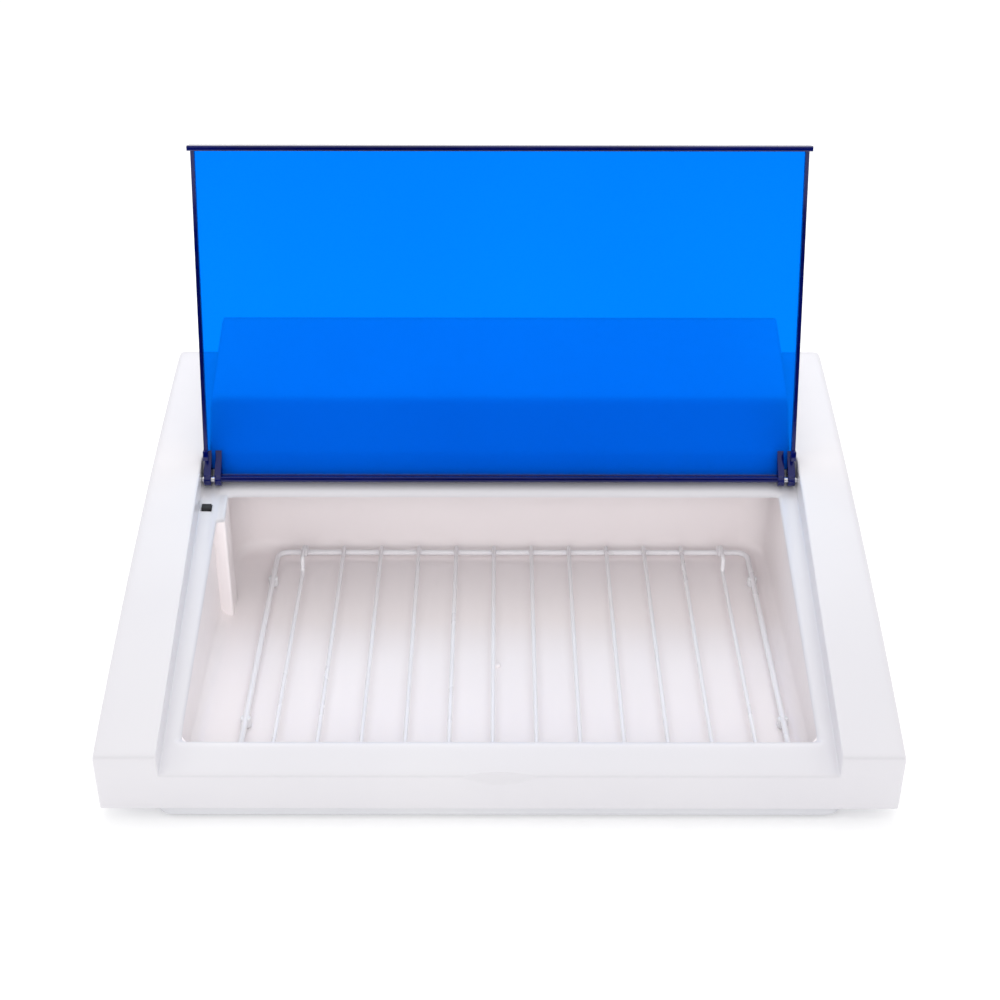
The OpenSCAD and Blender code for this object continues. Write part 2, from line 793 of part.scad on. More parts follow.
// The first and last thin wires, each with a raised finger loop near the rear
module rack_loops() color([0.94, 0.94, 0.95]) centred() {
    over = rack_z + frame_wire + thin_wire - 0.1;
    y1 = rack_rear - 24;
    y2 = rack_rear - 10;
    for (i = [0, wire_count - 1]) {
        x = wire_x(i);
        route([
            [x, rack_front + 1, over], [x, y1, over], [x, y1, over + 8],
            [x, y2, over + 8], [x, y2, over], [x, rack_rear - 1, over]
        ], 3.6, thin_wire);
    }
}

shell_deck();
shell_rails();
shell_console();
shell_posts();
inner_tub();
base_pan();
rubber_feet();
case_screws();
hinge_pins();
lid_panel();
switch_plunger();
switch_body();
switch_screws();
rocker_button();
rocker_frame();
cord_gland();
gland_nut();
lamp_glass();
lamp_caps();
lamp_holders();
lamp_reflector();
ballast_case();
ballast_screws();
terminal_block();
lamp_leads();
switch_leads();
mains_leads();
rack_frame();
rack_wires();
rack_loops();
rack_feet();
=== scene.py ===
import json
import math

import bmesh
import bpy
from mathutils import Matrix, Vector


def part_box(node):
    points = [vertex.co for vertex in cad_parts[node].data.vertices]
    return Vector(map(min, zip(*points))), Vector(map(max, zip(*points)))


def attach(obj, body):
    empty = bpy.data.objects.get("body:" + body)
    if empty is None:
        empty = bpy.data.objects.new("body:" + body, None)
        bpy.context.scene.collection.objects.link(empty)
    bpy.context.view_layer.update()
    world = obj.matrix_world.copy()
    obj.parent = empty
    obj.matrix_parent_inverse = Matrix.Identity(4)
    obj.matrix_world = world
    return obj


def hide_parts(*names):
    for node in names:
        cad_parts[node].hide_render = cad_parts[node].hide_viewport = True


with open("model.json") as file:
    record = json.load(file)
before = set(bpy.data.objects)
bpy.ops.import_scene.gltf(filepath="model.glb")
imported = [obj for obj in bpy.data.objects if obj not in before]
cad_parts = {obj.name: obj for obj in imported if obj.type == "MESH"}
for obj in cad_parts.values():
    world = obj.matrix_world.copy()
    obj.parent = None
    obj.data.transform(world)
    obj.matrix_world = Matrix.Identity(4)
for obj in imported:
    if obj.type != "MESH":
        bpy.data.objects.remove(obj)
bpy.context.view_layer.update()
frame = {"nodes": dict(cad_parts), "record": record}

# ---------------------------------------------------------------- sizes
# Millimetres, measured from the front of the housing, as the part is drawn.
MM = 0.001
lo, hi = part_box("shell_rails")
FRONT = lo.y
WIDTH = (hi.x - lo.x) / MM
DEPTH = (hi.y - lo.y) / MM
SLOPE = math.radians(16.5)
TAN = math.tan(SLOPE)
REAR_WIDTH = 355.6
FRONT_TOP = 38.5
RECESS = 11.0
HALF = 155.8
CONSOLE = 152.0
WALL = 2.5
LEAN = math.radians(15.5)  # the open lid and the riser lean back by this much
TAN_LEAN = math.tan(LEAN)
LAMP_Y = 195.5


def V(x, y, z):
    """A point in the row frame, in metres."""
    return Vector((x * MM, FRONT + y * MM, z * MM))


def T(y):
    """Height of the rails' top plane."""
    return FRONT_TOP + y * TAN


def R(y):
    """Height of the recess floor."""
    return T(y) - RECESS


def outer(y):
    """Half width of the housing, over its gently bowed sides."""
    t = min(max(y / DEPTH, 0), 1)
    return WIDTH / 2 - (WIDTH - REAR_WIDTH) / 2 * t * t


def edge(y):
    """Half width of the opening."""
    t = min(max((y - 19.7) / (168 - 19.7), 0), 1)
    return 148.2 - 2.2 * t


# ---------------------------------------------------------------- mesh helpers
def obj_from(name, bm, smooth=True, sharp=35):
    """A new object of a bmesh, smooth but for edges sharper than an angle."""
    bmesh.ops.recalc_face_normals(bm, faces=bm.faces)
    me = bpy.data.meshes.new(name)
    bm.to_mesh(me)
    bm.free()
    o = bpy.data.objects.new(name, me)
    bpy.context.scene.collection.objects.link(o)
    if smooth:
        shade(o, sharp)
    return o


def shade(o, angle=35):
    """Smooth shading but for edges sharper than an angle in degrees."""
    me = o.data
    for p in me.polygons:
        p.use_smooth = True
    me.set_sharp_from_angle(angle=math.radians(angle))


def bake(o):
    """Applies every modifier of an object to its mesh."""
    bpy.context.view_layer.update()
    dg = bpy.context.evaluated_depsgraph_get()
    me = bpy.data.meshes.new_from_object(o.evaluated_get(dg))
    o.modifiers.clear()
    o.data = me
    return o


def boolean(o, tool, how):
    """Adds or cuts away a tool, which is used up."""
    m = o.modifiers.new("b", "BOOLEAN")
    m.operation = how
    m.solver = "EXACT"
    m.object = tool
    bake(o)
    bpy.data.objects.remove(tool)
    return o


def box_into(bm, a, b, matrix=None):
    """Adds a closed box from corner a to corner b, in millimetres."""
    vs = []
    for z in (a[2], b[2]):
        for x, y in ((a[0], a[1]), (b[0], a[1]), (b[0], b[1]), (a[0], b[1])):
            p = V(x, y, z) if matrix is None else matrix @ Vector((x * MM, y * MM, z * MM))
            vs.append(bm.verts.new(p))
    for f in ((3, 2, 1, 0), (4, 5, 6, 7), (0, 1, 5, 4), (1, 2, 6, 5), (2, 3, 7, 6), (3, 0, 4, 7)):
        bm.faces.new([vs[i] for i in f])
    return vs


def bridge(bm, rings):
    """Faces between rings of equally many vertices."""
    for r0, r1 in zip(rings, rings[1:]):
        n = len(r0)
        for i in range(n):
            j = (i + 1) % n
            bm.faces.new((r0[i], r0[j], r1[j], r1[i]))


def lathe_into(bm, profile, place, n=48):
    """Turns a profile of (radius, height) in millimetres about place's Z axis."""
    rings = []
    for r, h in profile:
        if r < 1e-6:
            rings.append([bm.verts.new(place @ Vector((0, 0, h * MM)))] * n)
            continue
        rings.append([
            bm.verts.new(place @ Vector((
                r * MM * math.cos(2 * math.pi * i / n),
                r * MM * math.sin(2 * math.pi * i / n), h * MM)))
            for i in range(n)
        ])
    for r0, r1 in zip(rings, rings[1:]):
        for i in range(n):
            j = (i + 1) % n
            loop = []
            for v in (r0[i], r0[j], r1[j], r1[i]):
                if v not in loop:
                    loop.append(v)
            if len(loop) > 2:
                bm.faces.new(loop)


def round_path(pts, radius, steps=6):
    """A path of points whose inner corners are rounded."""
    out = [Vector(pts[0])]
    for a, p, b in zip(pts, pts[1:], pts[2:]):
        a, p, b = Vector(a), Vector(p), Vector(b)
        u, w = (a - p), (b - p)
        r = min(radius, u.length * 0.45, w.length * 0.45)
        s, e = p + u.normalized() * r, p + w.normalized() * r
        for i in range(steps + 1):
            t = i / steps
            out.append(s * (1 - t) ** 2 + p * 2 * t * (1 - t) + e * t * t)
    out.append(Vector(pts[-1]))
    return out


def tube_into(bm, pts, radius, n=14, closed=False, dome=0.6):
    """Adds a tube along a path in the row frame, with domed ends."""
    pts = [Vector(p) for p in pts]
    k = len(pts)
    frames = []
    up = None
    for i in range(k):
        a = pts[(i - 1) % k] if (closed or i > 0) else pts[i]
        b = pts[(i + 1) % k] if (closed or i < k - 1) else pts[i]
        t = (b - a).normalized()
        if up is None:
            up = Vector((0, 0, 1)) if abs(t.z) < 0.9 else Vector((0, 1, 0))
        side = t.cross(up).normalized()
        up = side.cross(t).normalized()
        frames.append((pts[i], t, side, up.copy()))
    rings = []

    def ring(p, side, upv, r):
        return [
            bm.verts.new(p + (side * math.cos(2 * math.pi * j / n) + upv * math.sin(2 * math.pi * j / n)) * r)
            for j in range(n)
        ]

    if closed:
        rings = [ring(p, s, u, radius) for p, t, s, u in frames]
        bridge(bm, rings + [rings[0]])
        return
    p, t, s, u = frames[0]
    caps = (0.0, 0.38, 0.7, 0.92)
    for c in caps:
        rings.append(ring(p - t * radius * dome * math.cos(math.asin(c)) if c else p - t * radius * dome,
                          s, u, radius * max(c, 0.12)))
    for p, t, s, u in frames:
        rings.append(ring(p, s, u, radius))
    p, t, s, u = frames[-1]
    for c in reversed(caps):
        rings.append(ring(p + t * radius * dome * math.cos(math.asin(c)) if c else p + t * radius * dome,
                          s, u, radius * max(c, 0.12)))
    bridge(bm, rings)
    bm.faces.new(list(reversed(rings[0])))
    bm.faces.new(rings[-1])


# ---------------------------------------------------------------- materials
def nodes_of(name):
    m = bpy.data.materials.new(name)
    m.use_nodes = True
    nt = m.node_tree
    return m, nt, nt.nodes["Principled BSDF"]


def coords(nt, scale=(1, 1, 1)):
    tc = nt.nodes.new("ShaderNodeTexCoord")
    mp = nt.nodes.new("ShaderNodeMapping")
    mp.inputs["Scale"].default_value = scale
    nt.links.new(tc.outputs["Object"], mp.inputs["Vector"])
    return mp.outputs["Vector"]


def noise(nt, vec, scale, detail=3, rough=0.55):
    n = nt.nodes.new("ShaderNodeTexNoise")
    n.inputs["Scale"].default_value = scale
    n.inputs["Detail"].default_value = detail
    n.inputs["Roughness"].default_value = rough
    nt.links.new(vec, n.inputs["Vector"])
    return n.outputs["Fac"]


def ramp(nt, value, lo_pos, lo_val, hi_pos, hi_val):
    """Maps a value to a number between two levels."""
    n = nt.nodes.new("ShaderNodeMapRange")
    n.inputs["From Min"].default_value = lo_pos
    n.inputs["From Max"].default_value = hi_pos
    n.inputs["To Min"].default_value = lo_val
    n.inputs["To Max"].default_value = hi_val
    nt.links.new(value, n.inputs["Value"])
    return n.outputs["Result"]


def mix_colour(nt, fac, a, b):
    n = nt.nodes.new("ShaderNodeMix")
    n.data_type = "RGBA"
    for i, c in ((6, a), (7, b)):
        if isinstance(c, tuple):
            n.inputs[i].default_value = (*c, 1)
        else:
            nt.links.new(c, n.inputs[i])
    nt.links.new(fac, n.inputs[0])
    return n.outputs[2]


def bump(nt, p, height, strength, distance):
    n = nt.nodes.new("ShaderNodeBump")
    n.inputs["Strength"].default_value = strength
    n.inputs["Distance"].default_value = distance
    nt.links.new(height, n.inputs["Height"])
    nt.links.new(n.outputs["Normal"], p.inputs["Normal"])


def edge_mask(nt):
    """1 along convex edges, 0 on flats."""
    n = nt.nodes.new("ShaderNodeNewGeometry")
    return ramp(nt, n.outputs["Pointiness"], 0.5, 0.0, 0.56, 1.0)


def plastic(name, base, shadow, rough=(0.28, 0.4), grain=0.03, convex_edge_colour=None, coat=0.0):
    """Moulded plastic: drifts of tone, a fine spark-eroded grain and faint scuffs."""
    m, nt, p = nodes_of(name)
    vec = coords(nt)
    broad = noise(nt, vec, 9, 2)
    fine = noise(nt, vec, 900, 2)
    scuff = noise(nt, coords(nt, (1, 7, 1)), 60, 5, 0.7)
    tone = mix_colour(nt, ramp(nt, broad, 0.35, 0, 0.65, 1), base, shadow)
    # Where a colour is given, the plastic is lighter along convex edges
    if convex_edge_colour:
        tone = mix_colour(nt, edge_mask(nt), tone, convex_edge_colour)
    nt.links.new(tone, p.inputs["Base Color"])
    nt.links.new(ramp(nt, scuff, 0.4, rough[0], 0.72, rough[1]), p.inputs["Roughness"])
    bump(nt, p, fine, grain, 0.0002)
    p.inputs["IOR"].default_value = 1.5
    if coat:
        p.inputs["Coat Weight"].default_value = coat
        p.inputs["Coat Roughness"].default_value = 0.12
    return m


def metal(name, base, shadow, rough=(0.22, 0.38), brushed=(1, 40, 1), grain=0.05):
    m, nt, p = nodes_of(name)
    streak = noise(nt, coords(nt, brushed), 120, 4, 0.65)
    blot = noise(nt, coords(nt), 35, 2)
    nt.links.new(mix_colour(nt, ramp(nt, blot, 0.35, 0, 0.65, 1), base, shadow), p.inputs["Base Color"])
    nt.links.new(ramp(nt, streak, 0.35, rough[0], 0.65, rough[1]), p.inputs["Roughness"])
    p.inputs["Metallic"].default_value = 1
    bump(nt, p, streak, grain, 0.0001)
    return m


def blue_acrylic(name, tint, deep, passing, rough=0.012):
    """Clear blue acrylic. Light that only passes on its way to something else is less tinted."""
    m, nt, p = nodes_of(name)
    out = nt.nodes["Material Output"]
    vec = coords(nt)
    drift = noise(nt, vec, 5, 2)
    hair = noise(nt, coords(nt, (90, 1, 6)), 26, 4, 0.7)
    nt.links.new(mix_colour(nt, ramp(nt, drift, 0.3, 0, 0.7, 1), tint, deep), p.inputs["Base Color"])
    p.inputs["Transmission Weight"].default_value = 1
    p.inputs["IOR"].default_value = 1.49
    p.inputs["Roughness"].default_value = rough
    bump(nt, p, hair, 0.03, 0.0002)
    shader = p.outputs[0]
    for ray in ("Is Diffuse Ray", "Is Shadow Ray"):
        path = nt.nodes.new("ShaderNodeLightPath")
        clear = nt.nodes.new("ShaderNodeBsdfTransparent")
        clear.inputs["Color"].default_value = (*passing, 1)
        mix = nt.nodes.new("ShaderNodeMixShader")
        nt.links.new(path.outputs[ray], mix.inputs[0])
        nt.links.new(shader, mix.inputs[1])
        nt.links.new(clear.outputs[0], mix.inputs[2])
        shader = mix.outputs[0]
    nt.links.new(shader, out.inputs["Surface"])
    return m


def frosted_glass():
    m, nt, p = nodes_of("lamp_glass")
    p.inputs["Transmission Weight"].default_value = 0.85
    p.inputs["IOR"].default_value = 1.5
    vec = coords(nt)
    haze = noise(nt, vec, 60, 3)
    nt.links.new(mix_colour(nt, haze, (0.86, 0.9, 0.95), (0.95, 0.96, 1.0)), p.inputs["Base Color"])
    nt.links.new(ramp(nt, haze, 0.3, 0.04, 0.7, 0.2), p.inputs["Roughness"])
    return m


def rubber():
    m, nt, p = nodes_of("black_rubber")
    vec = coords(nt)
    g = noise(nt, vec, 400, 4, 0.7)
    nt.links.new(mix_colour(nt, g, (0.018, 0.018, 0.02), (0.05, 0.05, 0.052)), p.inputs["Base Color"])
    nt.links.new(ramp(nt, g, 0.3, 0.65, 0.7, 0.85), p.inputs["Roughness"])
    bump(nt, p, g, 0.25, 0.0003)
    return m


def coated(name, base, shadow):
    """Wire dipped in white plastic: thick, glossy and slightly uneven."""
    m, nt, p = nodes_of(name)
    vec = coords(nt)
    wave = noise(nt, vec, 30, 1)
    tone = noise(nt, vec, 25, 2)
    nt.links.new(mix_colour(nt, ramp(nt, tone, 0.35, 0, 0.65, 1), base, shadow), p.inputs["Base Color"])
    nt.links.new(ramp(nt, wave, 0.3, 0.26, 0.7, 0.36), p.inputs["Roughness"])
    bump(nt, p, wave, 0.04, 0.0002)
    p.inputs["Coat Weight"].default_value = 0.3
    p.inputs["Coat Roughness"].default_value = 0.08
    return m


MAT = {
    "white_housing": plastic("white_housing", (0.785, 0.768, 0.8), (0.755, 0.738, 0.775), coat=0.15),
    "white_tub": plastic("white_tub", (0.845, 0.795, 0.8), (0.815, 0.765, 0.772), rough=(0.3, 0.45)),
    "white_base": plastic("white_base", (0.76, 0.76, 0.79), (0.72, 0.72, 0.76), rough=(0.38, 0.55)),
    "black_rubber": rubber(),
    "screw_steel": metal("screw_steel", (0.56, 0.56, 0.58), (0.44, 0.44, 0.46)),
    "pin_steel": metal("pin_steel", (0.72, 0.72, 0.74), (0.6, 0.6, 0.63), rough=(0.12, 0.25)),
    "blue_lid": blue_acrylic("blue_lid", (0.0, 0.2, 1.0), (0.0, 0.185, 0.97), (0.78, 0.9, 1.0)),
    # Painted shade: the lid's edge faces are an opaque dark navy, not the acrylic's own clear blue
    "blue_lid_edge_painted_shade": plastic("blue_lid_edge_painted_shade", (0.0, 0.003, 0.1), (0.0, 0.001, 0.05),
                             rough=(0.08, 0.2), grain=0.01),
    "black_plastic": plastic("black_plastic", (0.004, 0.004, 0.005), (0.007, 0.007, 0.008),
                             rough=(0.5, 0.62), grain=0.08, convex_edge_colour=(0.02, 0.02, 0.022)),
    "switch_plastic": plastic("switch_plastic", (0.02, 0.02, 0.022), (0.03, 0.03, 0.032),
                              rough=(0.4, 0.55), grain=0.08),
    "rocker_plastic": plastic("rocker_plastic", (0.015, 0.015, 0.017), (0.024, 0.024, 0.026),
                              rough=(0.22, 0.35), grain=0.04, convex_edge_colour=(0.08, 0.08, 0.085)),
    "gland_plastic": plastic("gland_plastic", (0.02, 0.02, 0.022), (0.03, 0.03, 0.034),
                             rough=(0.4, 0.6), grain=0.1),
    "lamp_glass": frosted_glass(),
    "cap_aluminium": metal("cap_aluminium", (0.8, 0.8, 0.82), (0.68, 0.68, 0.7), brushed=(40, 1, 1)),
    "holder_plastic": plastic("holder_plastic", (0.8, 0.79, 0.76), (0.76, 0.75, 0.71), rough=(0.35, 0.5)),
    "reflector_aluminium": metal("reflector_aluminium", (0.86, 0.87, 0.89), (0.76, 0.77, 0.8),
                                 rough=(0.15, 0.3), brushed=(1, 60, 60)),
    "lead_white": plastic("lead_white", (0.78, 0.78, 0.76), (0.72, 0.72, 0.7), rough=(0.4, 0.5)),
    "lead_red": plastic("lead_red", (0.45, 0.02, 0.02), (0.36, 0.015, 0.015), rough=(0.35, 0.5)),
    "lead_blue": plastic("lead_blue", (0.02, 0.06, 0.35), (0.015, 0.045, 0.28), rough=(0.35, 0.5)),
    "coated_wire": coated("coated_wire", (0.77, 0.76, 0.785), (0.74, 0.73, 0.755)),
    "soft_cap": coated("soft_cap", (0.74, 0.74, 0.76), (0.68, 0.68, 0.7)),
}

DONE = {}


def give(o, material, body, *nodes):
    """Paints a piece, lets it ride on its body and stand for its CAD nodes."""
    o.data.materials.clear()
    o.data.materials.append(MAT[material])
    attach(o, body)
    if nodes:
        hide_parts(*nodes)
    DONE[o.name] = o
    return o


# ---------------------------------------------------------------- the housing
REAR = DEPTH


def console_z(y):
    """Height of the console behind its crease."""
    return 117 + (y - 198) * (136.6 - 117) / (REAR - 198)


ROWS = (0, 1.4, 4.5, 9.5, 15.0, 17.5, 19.0, 19.7,
        25.5, 60, 105, 146, 149.8, 151.0, 153.0, 162.5, 166.6, 168.0,
        169.6, 173, 176.8)  # y of the cage's rows from the front to the riser


def build_shell():
    bm = bmesh.new()
    cols = range(15)
    grid = {}

    def put(i, j, x, y, z):
        for s in (1, -1):
            if i == 0 and s == -1:
                grid[(-1, 0, j)] = grid[(1, 0, j)]
                continue
            grid[(s, i, j)] = bm.verts.new(V(s * x, y, z))

    lip = {15.0: 0.0, 17.5: 0.3, 19.0: 0.9, 19.7: 1.8}
    for j, y in enumerate(ROWS):
        r, t = R(y), T(y)
        xo, xe = outer(y), edge(y)
        if y == 0:
            r, t = r - 0.5, t - 0.5
        if y == 1.4:
            r -= 0.12
        drop = lip.get(y, 0.0)
        rear_lip = 1.2 if y == 168.0 else 0.0
        for i in cols:
            if i < 5:
                x = (0, 20, 70, 130, 142)[i]
                z = r - drop - rear_lip
                put(i, j, x, y, z)
            elif i == 5:
                side = 1.4 if 19.7 < y < 168 else 0.0
                put(i, j, xe, y, r - max(drop, side, rear_lip))
            elif i == 6:
                put(i, j, xe + 1.7, y, r - 0.1)
            elif i == 7:
                put(i, j, 154.6, y, r)
            elif i == 8:
                put(i, j, HALF, y, r)
            elif i == 9:
                put(i, j, HALF, y, r + 1.2)
            elif i == 10:
                put(i, j, HALF + 0.1, y, t - 1.5)
            elif i == 11:
                put(i, j, HALF + 0.1, y, t)
            elif i == 12:
                put(i, j, HALF + 1.8, y, t)
            elif i == 13:
                put(i, j, xo - 4, y, t)
            elif i == 14:
                put(i, j, xo, y, t)
    # Riser foot, its support and its meeting with the rails' plane
    y0, z0 = 178.0, R(178.0)

    def riser(h):
        return y0 + h * TAN_LEAN, z0 + h

    top = T(181.05)
    j = len(ROWS)
    for i in cols:
        if i <= 7:
            put(i, j, (0, 20, 70, 130, 142, edge(168), edge(168) + 1.7, 154.6)[i], y0, z0)
        elif i == 8:
            put(i, j, HALF, y0, z0)
        elif i == 9:
            put(i, j, HALF, riser(1.2)[0], z0 + 1.2)
        elif i == 10:
            put(i, j, HALF + 0.1, riser(9.5)[0], top - 1.5)
        elif i == 11:
            put(i, j, HALF + 0.1, 181.05, top)
        else:
            put(i, j, (HALF + 1.8, outer(181) - 4, outer(181))[i - 12], 181.05, top)
    j += 1
    for i in cols:
        if i <= 7:
            y, z = riser(1.3)
            put(i, j, (0, 20, 70, 130, 142, 145, 148, 153.4)[i], y, z)
        elif i == 8:
            put(i, j, 154.6, *riser(1.3))
        elif i == 9:
            put(i, j, 154.7, *riser(3.0))
        elif i == 10:
            put(i, j, 154.9, *riser(9.4))
        elif i == 11:
            put(i, j, 155.1, 181.3, T(181.3))
        else:
            put(i, j, (HALF + 1.5, outer(183) - 4, outer(183))[i - 12], 182.6, T(182.6))
    j += 1
    for i in cols:
        if i <= 7:
            put(i, j, (0, 20, 70, 130, 142, 145, 148, 150.8)[i], *riser(10.8))
        elif i == 8:
            put(i, j, CONSOLE - 0.2, *riser(11.3))
        elif i == 9:
            put(i, j, CONSOLE + 0.5, 181.6, T(181.6))
        elif i == 10:
            put(i, j, CONSOLE + 1.4, 182.0, T(182.0))
        elif i == 11:
            put(i, j, CONSOLE + 2.4, 182.6, T(182.6))
        else:
            put(i, j, (HALF + 1.0, outer(185) - 4, outer(185))[i - 12], 184.8, T(184.8))
    # The console: the middle's height, and the rails beside it
    profile = [(181.75, 93.6), (183.4, 96.2), (189.5, 104.9), (195.4, 113.3), (198.0, 117.0),
               (202.2, console_z(202.2)), (222, console_z(222)), (254.5, console_z(254.5)),
               (REAR, console_z(REAR))]
    for k, (y, c) in enumerate(profile):
        j += 1
        ys = (184.0, 187.8, 191.8, 195.8)[k] if k < 4 else y
        yr = (187.0, 189.8, 192.8, 196.2)[k] if k < 4 else y
        y10, y11 = y + (ys - y) * 0.3, y + (ys - y) * 0.8
        y12 = ys + 1.6 if k < 4 else y
        for i in cols:
            if i <= 7:
                put(i, j, (0, 20, 70, 130, 142, 145, 148, 150.4)[i], y, c)
            elif i == 8:
                put(i, j, CONSOLE, y, c)
            elif i == 9:
                put(i, j, CONSOLE, y, max(c - 1.8, T(y) + 0.6))
            elif i == 10:
                put(i, j, CONSOLE + 0.05, y10, T(y10) + (1.0 if c - T(y) > 3 else 0.3))
            elif i == 11:
                put(i, j, CONSOLE + 0.2, y11, T(y11))
            elif i == 12:
                put(i, j, CONSOLE + 1.8, y12, T(y12))
            else:
                put(i, j, (outer(yr) - 4, outer(yr))[i - 13], yr, T(yr))
    last = j
    hole_rows = {jj for jj, y in enumerate(ROWS) if 19.7 <= y < 168.0}
    plate_from = ROWS.index(151.0)
    for s in (1, -1):
        for i in range(14):
            for jj in range(last):
                inner = 4 if (s == -1 and jj >= plate_from) else 5
                if jj in hole_rows and i < inner:
                    continue
                q = [grid[(s, i, jj)], grid[(s, i + 1, jj)], grid[(s, i + 1, jj + 1)], grid[(s, i, jj + 1)]]
                bm.faces.new(q if s == 1 else list(reversed(q)))
    # Skirt: rings of points below the edge of the top
    rim = [(1, i, 0) for i in range(15)] + [(1, 14, jj) for jj in range(1, last + 1)]
    rim += [(1, i, last) for i in range(13, -1, -1)]
    left = [(-1, i, last) for i in range(1, 15)] + [(-1, 14, jj) for jj in range(last - 1, -1, -1)]
    left += [(-1, i, 0) for i in range(13, 0, -1)]
    loop = rim + left

    def slant(z):
        return 1.5 * min(max((30.5 - z) / 23.5, 0), 1)

    def ring_point(key, level):
        s, i, jj = key
        top_v = grid[key].co
        x, y, z = abs(top_v.x) / MM, (top_v.y - FRONT) / MM, top_v.z / MM
        front, rear = jj == 0, jj == last
        low = {3: 14.0, 4: 9.4, 5: 7.0}
        if level >= 3:
            zz = low[level]
            if front:
                xs = x if i <= 7 else (HALF + 0.5, 158.5, 160.5, 162, 164, outer(0) - 4, outer(0))[i - 8]
                return s * xs, slant(zz), zz
            if rear:
                xs = x if i <= 7 else (152.5, 154, 155.5, 157, 160, x, x)[i - 8]
                return s * xs, REAR, zz
            yy = y + slant(zz) * max(0, 1 - y / 12)
            return s * x, yy, zz
        if front:
            if i <= 7:
                zz = R(0) - (3.0, 7.5)[level - 1]
                return s * x, slant(zz), zz
            if level == 1:
                dx, zz = ((HALF + 2.6, R(0) - 3.0), (HALF + 2.7, R(0) - 1.2), (HALF + 2.8, T(0) - 5.0),
                          (HALF + 3.2, T(0) - 3.6), (HALF + 4.4, T(0) - 3.4),
                          (outer(0) - 4, T(0) - 3.4), (outer(0), T(0) - 3.4))[i - 8]
            else:
                dx, zz = ((HALF + 4.0, R(0) - 7.5), (HALF + 4.8, R(0) - 6.4), (HALF + 5.4, R(0) - 2.6),
                          (HALF + 6.0, T(0) - 9.4), (HALF + 7.2, T(0) - 8.6),
                          (outer(0) - 4, T(0) - 8.2), (outer(0), T(0) - 8.2))[i - 8]
            return s * dx, slant(zz), zz
        if rear:
            if i <= 7:
                near = (0, 20, 70, 130, 141, 143.5, 146, 148.4)
                far = (0, 20, 70, 130, 140, 142, 144, 146)
                return s * (near, far)[level - 1][i], REAR, z - (5.0, 12.0)[level - 1]
            c, t = console_z(REAR), T(REAR)
            if level == 1:
                dx, zz = ((149.8, c - 5.0), (149.9, c - 6.6), (150.2, t - 2.5), (151.4, t - 4.6),
                          (154.4, t - 5.0), (x, t - 5.0), (x, t - 5.0))[i - 8]
            else:
                dx, zz = ((147.5, c - 12.0), (147.8, c - 15), (148.6, t - 7.0), (151.0, t - 10.5),
                          (155.0, t - 11.5), (x, t - 12.0), (x, t - 12.0))[i - 8]
            return s * dx, REAR, zz
        return s * x, y, z - (3.0, 8.0)[level - 1]

    rings = [[grid[k] for k in loop]]
    for level in (1, 2, 3, 4, 5):
        rings.append([bm.verts.new(V(*ring_point(k, level))) for k in loop])
    bridge(bm, rings)
    # The under side and the opening are closed for now, and opened again after the cuts
    crease = bm.edges.layers.float.new("crease_edge")
    cap = bm.faces.new(list(reversed(rings[-1])))
    cap.material_index = 1
    for e in cap.edges:
        e[crease] = 1.0
    start = grid[(1, 0, 7)]
    ring, used, v = [], set(), start
    while True:
        ring.append(v)
        step = [e for e in v.link_edges if len(e.link_faces) == 1 and e not in used]
        if not step:
            break
        used.add(step[0])
        v = step[0].other_vert(v)
        if v is start:
            break
    below = [
        bm.verts.new(Vector((v.co.x, v.co.y, (R((v.co.y - FRONT) / MM) - WALL - 0.02) * MM)))
        for v in ring
    ]
    bridge(bm, [ring, below])
    cap = bm.faces.new(below)
    cap.material_index = 1
    for e in cap.edges:
        e[crease] = 1.0
    o = obj_from("housing_shell", bm, sharp=180)
    for name in ("skin", "cap"):
        o.data.materials.append(bpy.data.materials.new("temp_" + name))
    sub = o.modifiers.new("s", "SUBSURF")
    sub.levels = sub.render_levels = 2
    return bake(o)


NOTCH_R = 90.0


def cut_shell(o):
    """Cuts the finger notch, switch hole and slot, rocker cut-out and cord hole, then thins it."""
    bm = bmesh.new()
    bmesh.ops.create_uvsphere(bm, u_segments=320, v_segments=180, radius=NOTCH_R * MM,
                              matrix=Matrix.Translation(V(0, -85, R(0) + 22.5)))
    at = Matrix.Translation(V(-152, 158, R(158))) @ Matrix.Rotation(SLOPE, 4, "X")

    def cut(a, b, end, matrix=None):
        before = set(bm.faces)
        box_into(bm, a, b, matrix)
        fresh = [f for f in bm.faces if f not in before]
        if end is not None:
            fresh[end].material_index = 1

    cut((-2.8, -2.4, -WALL - 0.1), (2.8, 2.4, 16), 0, at)
    cut((118 - 9.6, REAR - WALL - 0.1, 52 - 6.4), (118 + 9.6, REAR + 6, 52 + 6.4), 2)
    cut((-HALF - 2, 156, R(158) + 2.5), (-HALF + 1, 160, R(158) + 3.7), None)
    before = set(bm.faces)
    place = Matrix.Translation(V(-118, REAR - WALL - 0.1, 34)) @ Matrix.Rotation(-math.pi / 2, 4, "X")
    lathe_into(bm, [(0, 0), (6, 0), (6, 12), (0, 12)], place)
    for f in bm.faces:
        if f not in before and all(abs(v.co.y - place.translation.y) < 1e-6 for v in f.verts):
            f.material_index = 1
    tool = obj_from("cuts", bm, sharp=30)
    for name in ("skin", "cap"):
        tool.data.materials.append(bpy.data.materials["temp_" + name])
    boolean(o, tool, "DIFFERENCE")
    bm = bmesh.new()
    bm.from_mesh(o.data)
    bmesh.ops.delete(bm, geom=[f for f in bm.faces if f.material_index == 1], context="FACES")
    bm.to_mesh(o.data)
    bm.free()
    solid = o.modifiers.new("t", "SOLIDIFY")
    solid.thickness = WALL * MM
    solid.offset = -1
    bake(o)
    shade(o, 28)
    return o


shell = cut_shell(build_shell())
give(shell, "white_housing", "housing", "shell_deck", "shell_rails", "shell_console")


